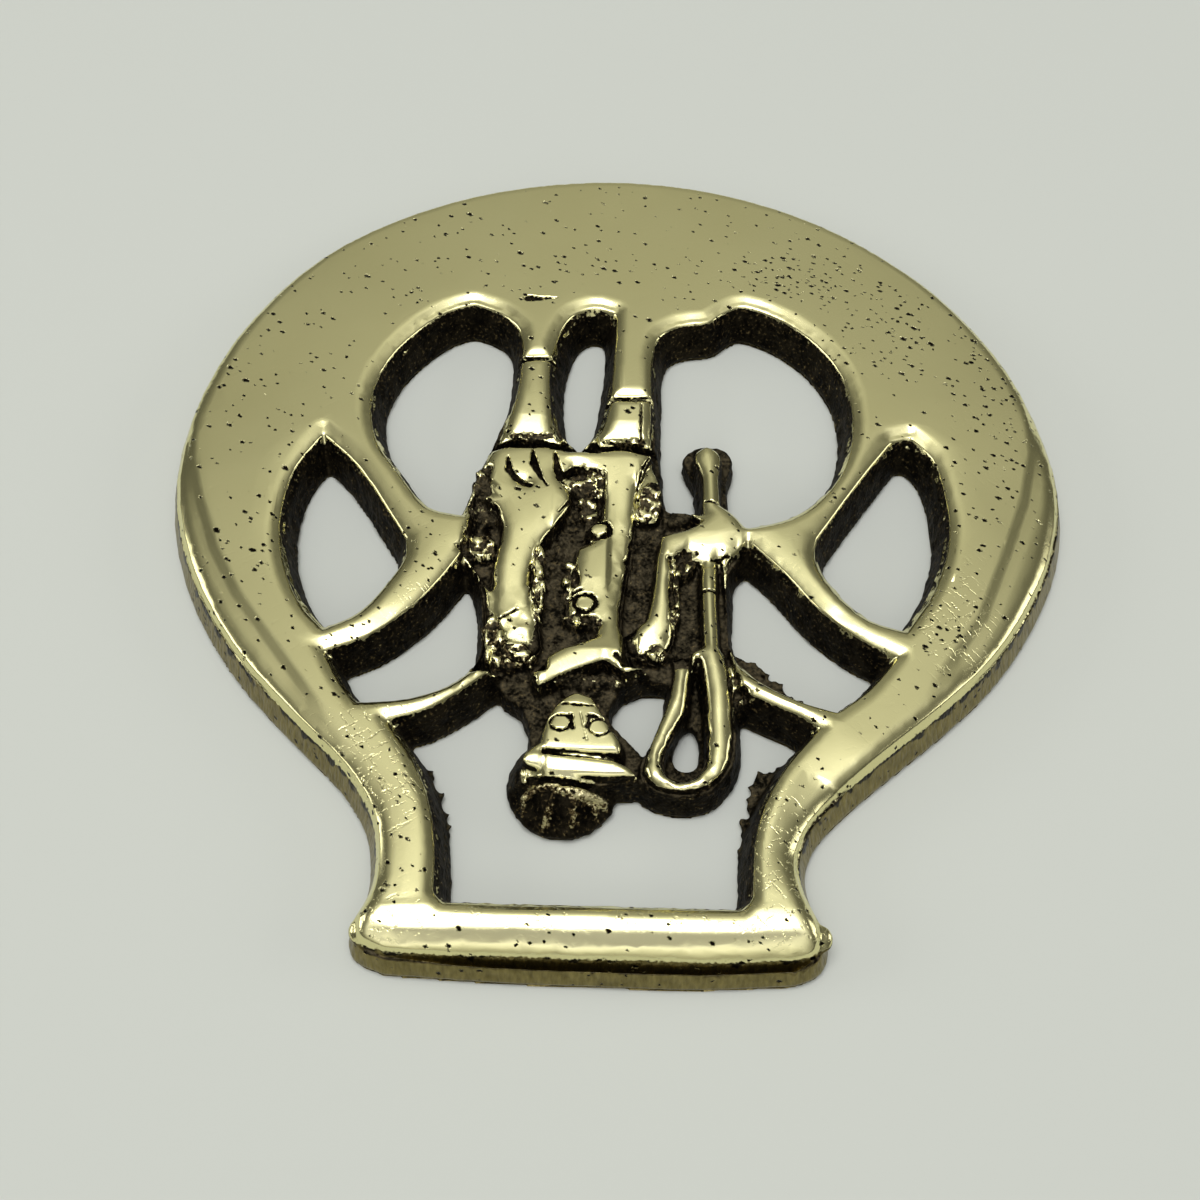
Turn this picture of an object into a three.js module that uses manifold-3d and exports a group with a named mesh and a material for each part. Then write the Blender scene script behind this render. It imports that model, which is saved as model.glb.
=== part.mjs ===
// A cast brass harness ornament: a round pierced plate with a strap hanger at one end and a small
// standing figure in a peaked cap and a buttoned coat in the middle, head towards the hanger.
// Millimetres, +Z up. The brass lies on its flat back, face up, and +Y runs from the hanger to
// the far rim. Outlines are drawn about the centre of the round body, and the finished solid is
// then moved so that the origin is the middle of its footprint.

import * as THREE from "three";
import { mergeVertices } from "three/addons/utils/BufferGeometryUtils.js";
import Module from "manifold-3d";

// ---- Driving sizes ----

const THICKNESS = 4.6; // back to face
const GROUND = 2.3; // height of the sunk ground around the figure
const BODY_RADIUS = 42.4; // rim of the round body, where its wall meets the rounded edge
const RIM_MIDDLE_X = -0.4; // the far rim is struck from a point a little to the left
const ROUNDING = 0.7; // radius of the worn edges of the plate
const DRAFT = 1.1; // how far a wall of the plate leans out from its top to the back
const FIGURE_ROUNDING = 0.4;
const FIGURE_DRAFT = 0.6;

const EYE_RADIUS = 0.85;
const BUTTON_RADIUS = 0.85;
const RING_WIDTH = 0.4; // cut ring around an eye or a button
const LINE_DEPTH = 0.55; // cut lines of the mouth, the peak, the boots and the fingers

const COAT_TAIL_TOP = 3.5; // the turned back skirt of the coat lies lower than its front
const WHIP_HOLLOW_FLOOR = 1.4; // floor of the loop of the whip, under its raised thong
const LEG_GAP_DRAFT = 1.4;

const CROWN = { x: -3.3, y: -30.9, wide: 4.8, deep: 4.8, high: 4.4 };
const FLUTES = { count: 6, radius: 0.35, from: -155, to: -25 }; // fanned over the crown, degrees

const CURVE_STEPS = 3; // straight steps between two points of a curve
const EDGE_STEPS = 2; // facets round an edge
const MITRE = 1.6; // longest reach of a sharp corner, in offsets
const SPARE = 1; // what stands below the back until the last cut, and a cutter above the face

const wasm = await Module();
wasm.setup();

// ---- From three.js geometry to solids and back ----

function toSolid(geometry) {
  const bare = geometry.clone();
  bare.deleteAttribute("normal");
  bare.deleteAttribute("uv");
  const merged = mergeVertices(bare, 1e-5);
  const triangles = [];
  for (let i = 0; i < merged.index.count; i += 3) {
    const [a, b, c] = merged.index.array.slice(i, i + 3);
    if (a !== b && b !== c && c !== a) triangles.push(a, b, c);
  }
  const mesh = new wasm.Mesh({
    numProp: 3,
    vertProperties: new Float32Array(merged.attributes.position.array),
    triVerts: new Uint32Array(triangles),
  });
  return new wasm.Manifold(mesh);
}

function toGeometry(solid) {
  const mesh = solid.getMesh();
  const geometry = new THREE.BufferGeometry();
  geometry.setAttribute("position", new THREE.BufferAttribute(mesh.vertProperties, 3));
  geometry.setIndex(new THREE.BufferAttribute(mesh.triVerts, 1));
  geometry.computeVertexNormals();
  return geometry;
}

// ---- Outlines ----

function curvePoints(points, closed) {
  const through = points.map(([x, y]) => new THREE.Vector3(x, y, 0));
  if (through.length === 2) return [new THREE.Vector2(...points[1])];
  const curve = new THREE.CatmullRomCurve3(through, closed, "centripetal");
  const spans = closed ? points.length : points.length - 1;
  const along = curve.getPoints(CURVE_STEPS * spans).slice(1);
  return along.map((p) => new THREE.Vector2(p.x, p.y));
}

// A closed outline of smooth runs. Each run is a list of points that one curve passes through.
// It starts where the run before it ended, and two runs meet in a corner.
function outline(...runs) {
  let start = runs.at(-1).at(-1);
  return runs.flatMap((run) => {
    const points = curvePoints([start, ...run], false);
    start = run.at(-1);
    return points;
  });
}

// A closed outline that is smooth all round.
function roundOutline(...points) {
  return curvePoints(points, true);
}

function farRim(fromDegrees, toDegrees, count) {
  return Array.from({ length: count }, (_, i) => {
    const turn = fromDegrees + ((toDegrees - fromDegrees) * i) / (count - 1);
    const angle = THREE.MathUtils.degToRad(turn);
    return [RIM_MIDDLE_X + BODY_RADIUS * Math.cos(angle), BODY_RADIUS * Math.sin(angle)];
  });
}

// ---- Walls, raised forms and openings ----

// The outline moved outwards by a distance, or inwards where it is negative. An edge that would
// turn round in a tight bend is left out, and the points at its ends meet in one point.
function offset(points, distance) {
  const n = points.length;
  const along = points.map((p, i) => points[(i + 1) % n].clone().sub(p).normalize());
  const moved = points.map((p, i) => {
    const outwards = new THREE.Vector2(along[i].y, -along[i].x);
    return p.clone().addScaledVector(outwards, distance);
  });

  function meeting(i, j) {
    const cross = along[i].cross(along[j]);
    if (Math.abs(cross) < 1e-3) return moved[j].clone();
    const gap = moved[j].clone().sub(moved[i]);
    const found = moved[i].clone().addScaledVector(along[i], gap.cross(along[j]) / cross);
    if ((j - i + n) % n !== 1) return found;
    const reach = found.sub(points[j]).clampLength(0, MITRE * Math.abs(distance));
    return reach.add(points[j]);
  }

  let kept = points.map((_, i) => i);
  let corners = [];
  for (let turned = true; turned; ) {
    corners = kept.map((edge, k) => meeting(kept.at(k - 1), edge));
    const ahead = kept.filter((edge, k) => {
      const run = corners[(k + 1) % kept.length].clone().sub(corners[k]);
      return run.dot(along[edge]) > 0;
    });
    turned = ahead.length < kept.length;
    kept = ahead;
  }
  return points.map((_, i) => {
    const k = kept.findIndex((edge) => edge >= i);
    return corners[Math.max(k, 0)];
  });
}

// A closed solid from an outline and the levels of its wall: pairs of height and outward distance.
function stack(points, levels) {
  const ordered = THREE.ShapeUtils.isClockWise(points) ? [...points].reverse() : points;
  const n = ordered.length;
  const rings = levels.map(([, outward]) => offset(ordered, outward));
  const positions = rings.flatMap((ring, k) => ring.flatMap((p) => [p.x, p.y, levels[k][0]]));
  const faces = [];
  for (let k = 0; k < levels.length - 1; k++) {
    for (let i = 0; i < n; i++) {
      const a = k * n + i;
      const b = k * n + ((i + 1) % n);
      faces.push(a, b, b + n, a, b + n, a + n);
    }
  }
  const cap = (k, order) => {
    const ring = rings[k];
    const distinct = ring.map((_, i) => i).filter((i) => !ring[i].equals(ring.at(i - 1)));
    const triangles = THREE.ShapeUtils.triangulateShape(distinct.map((i) => ring[i]), []);
    for (const triangle of triangles) {
      faces.push(...order.map((corner) => k * n + distinct[triangle[corner]]));
    }
  };
  cap(0, [0, 2, 1]);
  cap(levels.length - 1, [0, 1, 2]);
  const geometry = new THREE.BufferGeometry();
  geometry.setAttribute("position", new THREE.Float32BufferAttribute(positions, 3));
  geometry.setIndex(faces);
  return toSolid(geometry);
}

// Levels of the rounded edge at the top of a wall.
function roundedEdge(top, rounding) {
  return Array.from({ length: EDGE_STEPS + 1 }, (_, i) => {
    const turn = (Math.PI / 2) * (i / EDGE_STEPS);
    return [top - rounding * (1 - Math.sin(turn)), -rounding * (1 - Math.cos(turn))];
  });
}

function raised(points, { top = THICKNESS, draft = DRAFT, rounding = ROUNDING } = {}) {
  return stack(points, [[-SPARE, draft], [0, draft], ...roundedEdge(top, rounding)]);
}

// An opening is widest at the face. It goes right through, or down to a floor.
function opening(points, { floor = 0, draft = DRAFT, rounding = ROUNDING } = {}) {
  const low = floor === 0 ? [[-SPARE, -draft], [0, -draft]] : [[floor, -draft]];
  const edge = roundedEdge(THICKNESS, rounding).map(([height, inward]) => [height, -inward]);
  return stack(points, [...low, ...edge, [THICKNESS + SPARE, rounding]]);
}

function block(length, width, low, high, x, y, degrees = 0) {
  const geometry = new THREE.BoxGeometry(length, width, high - low);
  geometry.rotateZ(THREE.MathUtils.degToRad(degrees));
  geometry.translate(x, y, (low + high) / 2);
  return toSolid(geometry);
}

const figureForm = { draft: FIGURE_DRAFT, rounding: FIGURE_ROUNDING };

// ---- The pierced plate ----

const plate = outline(
  [[-8, -47.1], [0, -47.3], [8, -47.4], [15.2, -47]],
  [[16.8, -46.2], [17.2, -44.6], [16, -41.4], [15.7, -38.8], [16.6, -36], [18.8, -33.2],
    [23.6, -28.8], [28.8, -24.3], [33.8, -19.2], [37.8, -13.3], [40.7, -7], ...farRim(0, 135, 12),
    [-36.3, 20.9], [-39.7, 11], [-40.4, 0], [-37.7, -10], [-32.5, -18.9], [-26.1, -26],
    [-21.3, -30.8], [-18.6, -35], [-17.8, -38.6], [-17.9, -41.6], [-18.9, -44]],
  [[-18.7, -45.6], [-16.6, -46.6]],
);

const leftWindow = outline(
  [[-16.6, -3.1], [-19.6, 0.9], [-22, 4.9], [-23, 10], [-21.8, 15], [-19, 19.3], [-16.4, 21.7],
    [-14, 22.8]],
  [[-11.2, 21.5], [-9.3, 19.4], [-8.8, 16]],
  [[-9.3, 10], [-10.6, 5.4]],
  [[-12, 1], [-13.2, -4.1]],
);

const rightWindow = outline(
  [[16.8, -3.9], [20, -1.4], [22.3, 2.4], [23.4, 8], [22.8, 13.2], [20.6, 17.6], [17.2, 21],
    [13.6, 22.8], [12.8, 22.7], [11.4, 21.8], [10, 20.6], [7, 20], [5, 18.4], [4.3, 15]],
  [[4.2, 5]],
  [[4.9, -2], [5.6, -3]],
  [[8, -3.6]],
  [[13, -5]],
);

const legGap = outline(
  [[-4.9, 6.4], [-5.6, 10], [-5.7, 14.4], [-4.9, 19], [-3.6, 21.5], [-1.6, 22.4], [0.3, 21.8]],
  [[0.7, 19.5], [0.1, 11], [-0.8, 6.6], [-2.7, 3.6]],
);

const leftTear = outline(
  [[-23.8, 1.4], [-18.4, -7.2]],
  [[-18.3, -9.2], [-19.5, -11.8], [-21.7, -15], [-24.7, -16.9]],
  [[-27, -14.2], [-29.2, -9.2], [-29.9, -4], [-29.2, 1], [-27.2, 5]],
);

const rightTear = outline(
  [[30.5, 3.2], [31.3, -1.8], [31.1, -6.4], [29.3, -11.8], [26.4, -16.4]],
  [[23.4, -15.2], [20.5, -12], [19, -8.6], [19.4, -6.6]],
  [[23.8, 0.2], [27.1, 5]],
  [[28.7, 5.5]],
);

const leftCell = outline(
  [[-20.4, -17.9], [-17, -14.9], [-14.6, -11.6], [-12.9, -8.6]],
  [[-11.3, -11], [-10.5, -16], [-10.6, -19.2], [-11.6, -21.2]],
  [[-13.2, -22.6], [-16.6, -24], [-21, -24.5]],
  [[-22.6, -22.4], [-24.1, -19.6]],
);

const rightCell = outline(
  [[22.2, -17.7], [18.8, -14.5], [16, -10.6], [12.9, -7]],
  [[11, -9.4], [10.6, -13], [10.6, -17.6], [11.4, -19.8]],
  [[13.8, -22.2], [16.8, -23.9], [19.8, -24.9]],
  [[22.6, -22.6], [25.2, -19.4]],
);

const strapSlot = outline(
  [[-15, -25.5], [-12.4, -23.8], [-9.6, -21.4]],
  [[-6, -19.6]],
  [[6, -19.6]],
  [[11.4, -23]],
  [[14.4, -24.5], [16.4, -25.5], [18, -26.7]],
  [[15.2, -30.2], [13.2, -33.8], [12.2, -37.6], [11.9, -42.1]],
  [[11.1, -43]],
  [[-12.2, -42.7]],
  [[-12.9, -42]],
  [[-13.1, -38.2], [-14, -33.6], [-15.8, -29.6], [-18, -26.5]],
);

// ---- The sunk ground around the figure, and the thin webs that carry its head ----

const coatGround = outline(
  [[-12.6, -4.5]],
  [[-12.8, -9]],
  [[-10, -13]],
  [[-10, -21]],
  [[-5, -22.5]],
  [[11.4, -22.6]],
  [[10.8, -10]],
  [[8.6, -4.4]],
  [[5.6, -2.4]],
  [[5, 4.6]],
  [[-10.4, 4.9]],
  [[-11.8, 0]],
);

const headWeb = outline(
  [[-9.4, -20]],
  [[-8.6, -22.8], [-7, -24], [-6.2, -26]],
  [[-6, -31]],
  [[4, -31.4]],
  [[3.4, -28.6], [2, -26.8], [0.6, -25.2], [0.6, -23.6]],
  [[1.6, -22.2], [4, -21.2], [6.6, -21.6]],
  [[11.6, -24]],
  [[11.6, -18]],
);

// ---- The figure ----

const hipAndSleeve = outline(
  [[-11, 3.4], [-8.6, 4.3], [-5.2, 4.1]],
  [[-5, 1]],
  [[-3.7, -1], [-3.2, -2.4], [-4.4, -4.8], [-6, -7.4], [-6.8, -10.6], [-6.2, -14.4], [-5.6, -18]],
  [[-7, -20], [-9.4, -19.2]],
  [[-10, -16], [-10.1, -10], [-9.5, -5.6], [-10.2, -3.6]],
  [[-12.1, -1.6]],
);

const coatFront = outline(
  [[-3.4, 3.6], [-1, 3.5], [1.4, 3.9], [4.1, 3.1]],
  [[2.8, -0.6], [2.6, -4], [2, -9], [1.3, -14], [1.5, -17.4], [2.6, -20.4]],
  [[3.8, -20.8]],
  [[1.8, -21.4]],
  [[0, -20]],
  [[-3, -21.4], [-5.6, -22.9]],
  [[-6.1, -21.4], [-4.6, -19.4], [-0.6, -17.2]],
  [[-0.6, -16]],
  [[-3, -15.6], [-3.3, -13], [-2.8, -10], [-2.5, -7.4]],
  [[-0.6, -6.4]],
  [[-0.2, -2], [-1.2, 0.6], [-4.4, 2.4]],
);

const coatTail = outline(
  [[2.4, -4.6]],
  [[4.4, -4.4], [5, -3], [4.9, 0], [4, 3]],
  [[2.2, 2]],
);

const rightSleeve = outline(
  [[4.8, -8], [4.4, -12], [3.6, -15.4], [1.7, -17.2]],
  [[2.8, -19], [4.6, -19.7]],
  [[5.8, -17.6], [6, -14], [5.8, -11.4], [6.6, -9.2]],
  [[5.6, -7]],
);

const rightHand = roundOutline(
  [5, -6.6], [7.4, -5.6], [8.8, -4.4], [10, -2.6], [11.6, -3.6], [12.7, -5.7], [11, -7.6],
  [9.4, -9.2], [7.2, -8.8], [5.4, -9.2],
);

const stickTip = roundOutline(
  [9.4, 4.5], [10.6, 3.4], [10.4, 0.4], [10.2, -4], [9, -4], [8.9, 0.4], [8.2, 3.4],
);

const stickFlare = roundOutline(
  [9.6, 6], [11.4, 5.4], [11.9, 4], [11.3, 1], [11, -4], [8.8, -4], [8.3, 1], [7.2, 4], [7.8, 5.4],
);

const whipStem = outline(
  [[8.6, -8]],
  [[8.6, -12.8], [8.7, -19.4]],
  [[10, -19.4]],
  [[9.9, -12.8], [10.1, -8]],
);

const whipLoop = roundOutline(
  [9.6, -18], [10.8, -21.5], [10.9, -26], [10.6, -29.3], [8.8, -31.8], [6.4, -32.3], [4, -31.5],
  [3.5, -30], [4.8, -27.4], [6, -24.6], [6.3, -21.6], [7, -19.6], [8.4, -18.6],
);

const loopHollow = roundOutline(
  [8.2, -19.4], [8.7, -22], [8.9, -26], [8.7, -30], [7.2, -31.4], [5.5, -31.1], [4.9, -29.4],
  [5.9, -26.8], [7, -24.4], [7.4, -21],
);

const loopHole = roundOutline(
  [7.6, -25], [8.3, -27.6], [7.8, -29.2], [6.6, -29.4], [5.9, -28.2], [6.6, -26],
);

const leftLeg = outline(
  [[-9.6, 8], [-8.9, 12], [-8.7, 24]],
  [[-5.4, 24]],
  [[-5.8, 14], [-5.6, 9.6], [-5.1, 5.6]],
  [[-10.4, 5.2]],
);

const rightLeg = outline(
  [[-0.1, 8], [0.2, 12], [0.7, 24]],
  [[4.1, 24]],
  [[4.1, 12], [4.1, 5]],
  [[0, 5]],
);

const head = outline(
  [[-4.2, -25], [-5.1, -27.6], [-5.1, -29.4]],
  [[1.6, -29.4]],
  [[1.4, -28], [-0.2, -25.8], [-1.2, -24], [-2.2, -23.2], [-3.2, -23.8]],
);

const ear = roundOutline([-5, -28.4], [-6.3, -29.3], [-6.6, -30.3], [-5, -30.8]);

const peak = outline(
  [[-4.9, -31.2]],
  [[0, -31.5], [2.9, -31.4]],
  [[2.5, -30.8], [1, -30]],
  [[-5, -29.3]],
);

// The crown of the cap is a quarter ball that falls to the back, with flutes that fan out.
function crown() {
  const { x, y, wide, deep, high } = CROWN;
  const ball = new THREE.SphereGeometry(1, 24, 16);
  ball.rotateX(Math.PI / 2);
  ball.scale(wide, deep, high);
  ball.translate(x, y, 0);
  let solid = toSolid(ball);
  const upright = new THREE.Vector3(0, 1, 0);
  for (let i = 0; i < FLUTES.count; i++) {
    const turn = FLUTES.from + ((FLUTES.to - FLUTES.from) * i) / (FLUTES.count - 1);
    const angle = THREE.MathUtils.degToRad(turn);
    const edge = new THREE.Vector3(wide * Math.cos(angle), deep * Math.sin(angle), 0);
    const top = new THREE.Vector3(x, y, 1.12 * high).addScaledVector(edge, 0.42);
    const foot = new THREE.Vector3(x, y, 0.12 * high).addScaledVector(edge, 1.18);
    const path = new THREE.LineCurve3(top, foot);
    const flute = new THREE.CylinderGeometry(FLUTES.radius, FLUTES.radius, path.getLength(), 6);
    flute.applyQuaternion(new THREE.Quaternion().setFromUnitVectors(upright, path.getTangent(0)));
    flute.translate(...path.getPoint(0.5));
    solid = solid.subtract(toSolid(flute));
  }
  return solid;
}

// ---- Lines cut into the figure ----

function ringCut(x, y, radius) {
  const ring = new THREE.Shape().absarc(0, 0, radius + RING_WIDTH / 2, 0, 2 * Math.PI);
  ring.holes.push(new THREE.Path().absarc(0, 0, radius - RING_WIDTH / 2, 0, 2 * Math.PI));
  const geometry = new THREE.ExtrudeGeometry(ring, {
    depth: LINE_DEPTH + SPARE,
    bevelEnabled: false,
    curveSegments: 6,
  });
  geometry.translate(x, y, THICKNESS - LINE_DEPTH);
  return toSolid(geometry);
}

function lineCut(length, width, x, y, degrees) {
  return block(length, width, THICKNESS - LINE_DEPTH, THICKNESS + SPARE, x, y, degrees);
}

// A gap between two fingers: a long wedge that narrows from one end to a point at the other.
function fingerCut(length, width, x, y, degrees) {
  const wedge = new THREE.Shape([
    new THREE.Vector2(0, -width / 2),
    new THREE.Vector2(length, 0),
    new THREE.Vector2(0, width / 2),
  ]);
  const geometry = new THREE.ExtrudeGeometry(wedge, {
    depth: LINE_DEPTH + SPARE,
    bevelEnabled: false,
  });
  geometry.rotateZ(THREE.MathUtils.degToRad(degrees));
  geometry.translate(x, y, THICKNESS - LINE_DEPTH);
  return toSolid(geometry);
}

const cuts = [
  ringCut(-3.6, -26.9, EYE_RADIUS),
  ringCut(0, -27.3, EYE_RADIUS),
  ringCut(-0.8, -5.9, BUTTON_RADIUS),
  ringCut(-1.8, -14.3, BUTTON_RADIUS),
  lineCut(2.6, 0.35, -2, -24.9, -5), // mouth
  lineCut(6, 0.5, -1.8, -29.5, -4), // under the peak
  lineCut(4.4, 0.5, -7.2, 15.4, 2), // top of the left boot
  lineCut(4.4, 0.5, 2.2, 10.2, 2), // top of the right boot
  fingerCut(2.6, 0.9, -8.3, -0.3, 112),
  fingerCut(1.4, 0.9, -8.3, -0.3, -28),
  fingerCut(3, 1, -6.6, 1, 100),
  fingerCut(2.2, 1, -6.6, 1, -64),
  fingerCut(2.6, 1, -4.6, 0.6, 98),
];

// ---- The whole casting ----

function horseBrass() {
  let brass = raised(plate);
  for (const points of [leftWindow, rightWindow, leftTear, rightTear, leftCell, rightCell, strapSlot]) {
    brass = brass.subtract(opening(points));
  }
  brass = brass.subtract(opening(legGap, { draft: LEG_GAP_DRAFT }));
  brass = brass.subtract(opening(coatGround, { floor: GROUND, draft: 0.3, rounding: 0.3 }));
  brass = brass.add(raised(headWeb, { top: GROUND, draft: 0.4, rounding: 0.3 }));
  brass = brass.add(raised(coatTail, { ...figureForm, top: COAT_TAIL_TOP }));
  brass = brass.add(raised(stickFlare, { ...figureForm, draft: 0.2, top: GROUND }));
  brass = brass.add(raised(whipLoop, { ...figureForm, draft: DRAFT }));
  brass = brass.subtract(opening(loopHollow, { floor: WHIP_HOLLOW_FLOOR, draft: 0.4, rounding: 0.3 }));
  brass = brass.subtract(opening(loopHole, { draft: 0, rounding: 0 }));

  const body = [hipAndSleeve, coatFront, rightSleeve, rightHand, leftLeg, rightLeg];
  const rest = [head, ear, peak, whipStem, stickTip];
  for (const points of [...body, ...rest]) brass = brass.add(raised(points, figureForm));
  brass = brass.add(crown());
  for (const cut of cuts) brass = brass.subtract(cut);

  const room = 4 * BODY_RADIUS;
  return brass.intersect(block(room, room, 0, room, 0, 0));
}

const geometry = toGeometry(horseBrass());
geometry.computeBoundingBox();
const middle = geometry.boundingBox.getCenter(new THREE.Vector3());
geometry.translate(-middle.x, -middle.y, 0);

const castBrass = new THREE.MeshStandardMaterial({
  color: 0xb5a873,
  roughness: 0.35,
  metalness: 1,
});
const brass = new THREE.Mesh(geometry, castBrass);
brass.name = "horse_brass";

const model = new THREE.Group();
model.add(brass);

export default model;
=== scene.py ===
"""A horse brass: a cast and hand polished harness ornament, lying face up on a pale floor.

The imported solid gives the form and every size. Here it is copied, welded and cut fine, and then
finished as its makers left the real one: worn rims, hand filed slopes, a crowned hanger bar, the
rough skin of the sand mould in the recesses, casting pits, and ragged flash on the back edges.

Lengths are millimetres from the centre of the round body until settle_into_frame() puts the
finished piece back into the frame, in metres. The hanger is towards -Y, and the face is up.
"""

import itertools
import math

import bpy
import numpy as np
from mathutils import Matrix, Vector, kdtree


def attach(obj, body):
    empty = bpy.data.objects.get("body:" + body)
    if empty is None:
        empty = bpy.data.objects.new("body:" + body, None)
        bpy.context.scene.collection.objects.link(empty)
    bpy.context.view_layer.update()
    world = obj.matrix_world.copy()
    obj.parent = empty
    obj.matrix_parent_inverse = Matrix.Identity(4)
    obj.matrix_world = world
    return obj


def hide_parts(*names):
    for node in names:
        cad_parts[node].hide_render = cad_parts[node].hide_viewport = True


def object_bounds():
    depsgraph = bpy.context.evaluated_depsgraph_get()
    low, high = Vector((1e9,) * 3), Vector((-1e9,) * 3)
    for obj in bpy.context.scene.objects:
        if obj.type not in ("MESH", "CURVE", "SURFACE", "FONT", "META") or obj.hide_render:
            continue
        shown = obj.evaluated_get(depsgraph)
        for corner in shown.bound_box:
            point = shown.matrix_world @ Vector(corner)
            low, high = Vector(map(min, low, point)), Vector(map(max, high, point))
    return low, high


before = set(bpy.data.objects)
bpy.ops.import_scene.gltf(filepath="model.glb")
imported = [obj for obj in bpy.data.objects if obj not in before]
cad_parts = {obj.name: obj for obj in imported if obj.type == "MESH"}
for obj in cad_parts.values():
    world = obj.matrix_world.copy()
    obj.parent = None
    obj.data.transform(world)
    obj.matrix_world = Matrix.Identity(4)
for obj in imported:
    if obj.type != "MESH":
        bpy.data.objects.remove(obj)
solid_low, solid_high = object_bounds()

MM = 0.001
NODE = "horse_brass"

# ---- Places in the solid ----

TO_RIGHT_SIDE = 43.1  # from the centre of the round body
TO_FAR_SIDE = 43.5
CENTRE = Vector((solid_high.x - TO_RIGHT_SIDE * MM, solid_high.y - TO_FAR_SIDE * MM, 0))
FACE = solid_high.z / MM  # height of the polished face above the flat back

# ---- The finish of the casting ----

WELD = 0.001
GRAIN = 0.17  # edge of the small cells that the solid is cut into
TRIANGLES = 190_000  # in the finished piece
SOFT_REACH, SOFT_DEPTH = 2.6, 0.24  # the mop's soft fall towards edges that face the hanger
BEVEL_REACH, BEVEL_DEPTH = 0.85, 0.28  # the firm bevel inside that fall
ROUND_REACH, ROUND_DEPTH = 0.8, 0.15  # the narrow rounding at every edge
BACK_EASE, BACK_EASE_HEIGHT = 0.45, 0.8  # how far the edges of the back are pulled in, and up to what height


# ---- Working a mesh ----

def make_active(piece):
    """Selects one piece alone."""
    bpy.ops.object.select_all(action="DESELECT")
    piece.select_set(True)
    bpy.context.view_layer.objects.active = piece


def finish_with(piece, kind, **settings):
    """Adds a modifier and applies it."""
    make_active(piece)
    modifier = piece.modifiers.new(kind.title(), kind)
    for name, value in settings.items():
        setattr(modifier, name, value)
    bpy.ops.object.modifier_apply(modifier=modifier.name)


def points_of(piece):
    """The places of its points, one in each row."""
    points = np.empty(len(piece.data.vertices) * 3, np.float32)
    piece.data.vertices.foreach_get("co", points)
    return points.reshape(-1, 3).astype(float)


def normals_of(piece):
    normals = np.empty(len(piece.data.vertices) * 3, np.float32)
    piece.data.vertex_normals.foreach_get("vector", normals)
    return normals.reshape(-1, 3).astype(float)


def edges_of(piece):
    edges = np.empty(len(piece.data.edges) * 2, np.int32)
    piece.data.edges.foreach_get("vertices", edges)
    return edges.reshape(-1, 2)


def place_points(piece, points):
    piece.data.vertices.foreach_set("co", points.astype(np.float32).ravel())
    piece.data.update()


def ramp(value, low, high):
    """0 below low, 1 above high, and a smooth rise between them."""
    t = np.clip((value - low) / (high - low), 0, 1)
    return t * t * (3 - 2 * t)


def at_top(points, low=1.6, high=0.8):
    """1 near the polished face, and 0 from the depth low down."""
    return ramp(points[:, 2], FACE - low, FACE - high)


def swell(points, size, seed):
    """Soft random swelling from -1 to 1, with bumps about size across."""
    lattice = np.random.default_rng(seed).uniform(-1, 1, (61, 61, 61))
    cell = points / size + 500  # never below 0
    base = np.floor(cell).astype(int)
    t = cell - base
    t = t * t * (3 - 2 * t)
    total = np.zeros(len(points))
    for corner in itertools.product((0, 1), repeat=3):
        weight = np.prod(np.where(corner, t, 1 - t), axis=1)
        index = (base + corner) % lattice.shape[0]
        total += weight * lattice[tuple(index.T)]
    return total


def way_to(points, others):
    """The way in plan from each point to the nearest of the others."""
    tree = kdtree.KDTree(len(others))
    for i, other in enumerate(others):
        tree.insert((other[0], other[1], 0), i)
    tree.balance()
    return np.array([tree.find((x, y, 0))[0][:2] for x, y in points[:, :2]]) - points[:, :2]


def beside_path(points, path):
    """For each point, its distance in plan to a path, its side, and how far along the path it lies."""
    nearest = np.full(len(points), np.inf)
    side = np.zeros(len(points))
    way = np.zeros(len(points))
    start = 0
    for (ax, ay), (bx, by) in zip(path, path[1:]):
        along = np.array([bx - ax, by - ay])
        length = np.hypot(*along)
        away = points[:, :2] - (ax, ay)
        t = np.clip(away @ along / length**2, 0, 1)
        gap = np.hypot(*(away - t[:, None] * along).T)
        closer = gap < nearest
        nearest = np.where(closer, gap, nearest)
        turn = along[0] * away[:, 1] - along[1] * away[:, 0]
        side = np.where(closer, np.sign(turn), side)
        way = np.where(closer, start + t * length, way)
        start += length
    return nearest, side, way


# ---- From the solid to a fine mesh ----

def copy_of_solid():
    """The solid as a mesh of its own, welded, in millimetres about the centre of the body."""
    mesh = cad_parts[NODE].data.copy()
    mesh.transform(Matrix.Scale(1 / MM, 4) @ Matrix.Translation(-CENTRE))
    piece = bpy.data.objects.new("brass_casting", mesh)
    bpy.context.scene.collection.objects.link(piece)
    make_active(piece)
    bpy.ops.object.mode_set(mode="EDIT")
    bpy.ops.mesh.select_all(action="SELECT")
    bpy.ops.mesh.remove_doubles(threshold=WELD)
    bpy.ops.object.mode_set(mode="OBJECT")
    return piece


def block(outline, low, high):
    """An upright block of metal with the given outline in plan."""
    bpy.ops.object.select_all(action="DESELECT")
    bpy.ops.mesh.primitive_circle_add(vertices=len(outline), fill_type="NGON")
    made = bpy.context.object
    place_points(made, np.column_stack([outline, np.full(len(outline), low)]))
    bpy.ops.object.mode_set(mode="EDIT")
    bpy.ops.mesh.select_all(action="SELECT")
    bpy.ops.mesh.extrude_region_move(TRANSFORM_OT_translate={"value": (0, 0, high - low)})
    bpy.ops.mesh.select_all(action="SELECT")
    bpy.ops.mesh.normals_make_consistent(inside=False)
    bpy.ops.object.mode_set(mode="OBJECT")
    return made


BEAD_RADIUS = 1.1
BEAD_HEIGHT = FACE - 1.8


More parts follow.
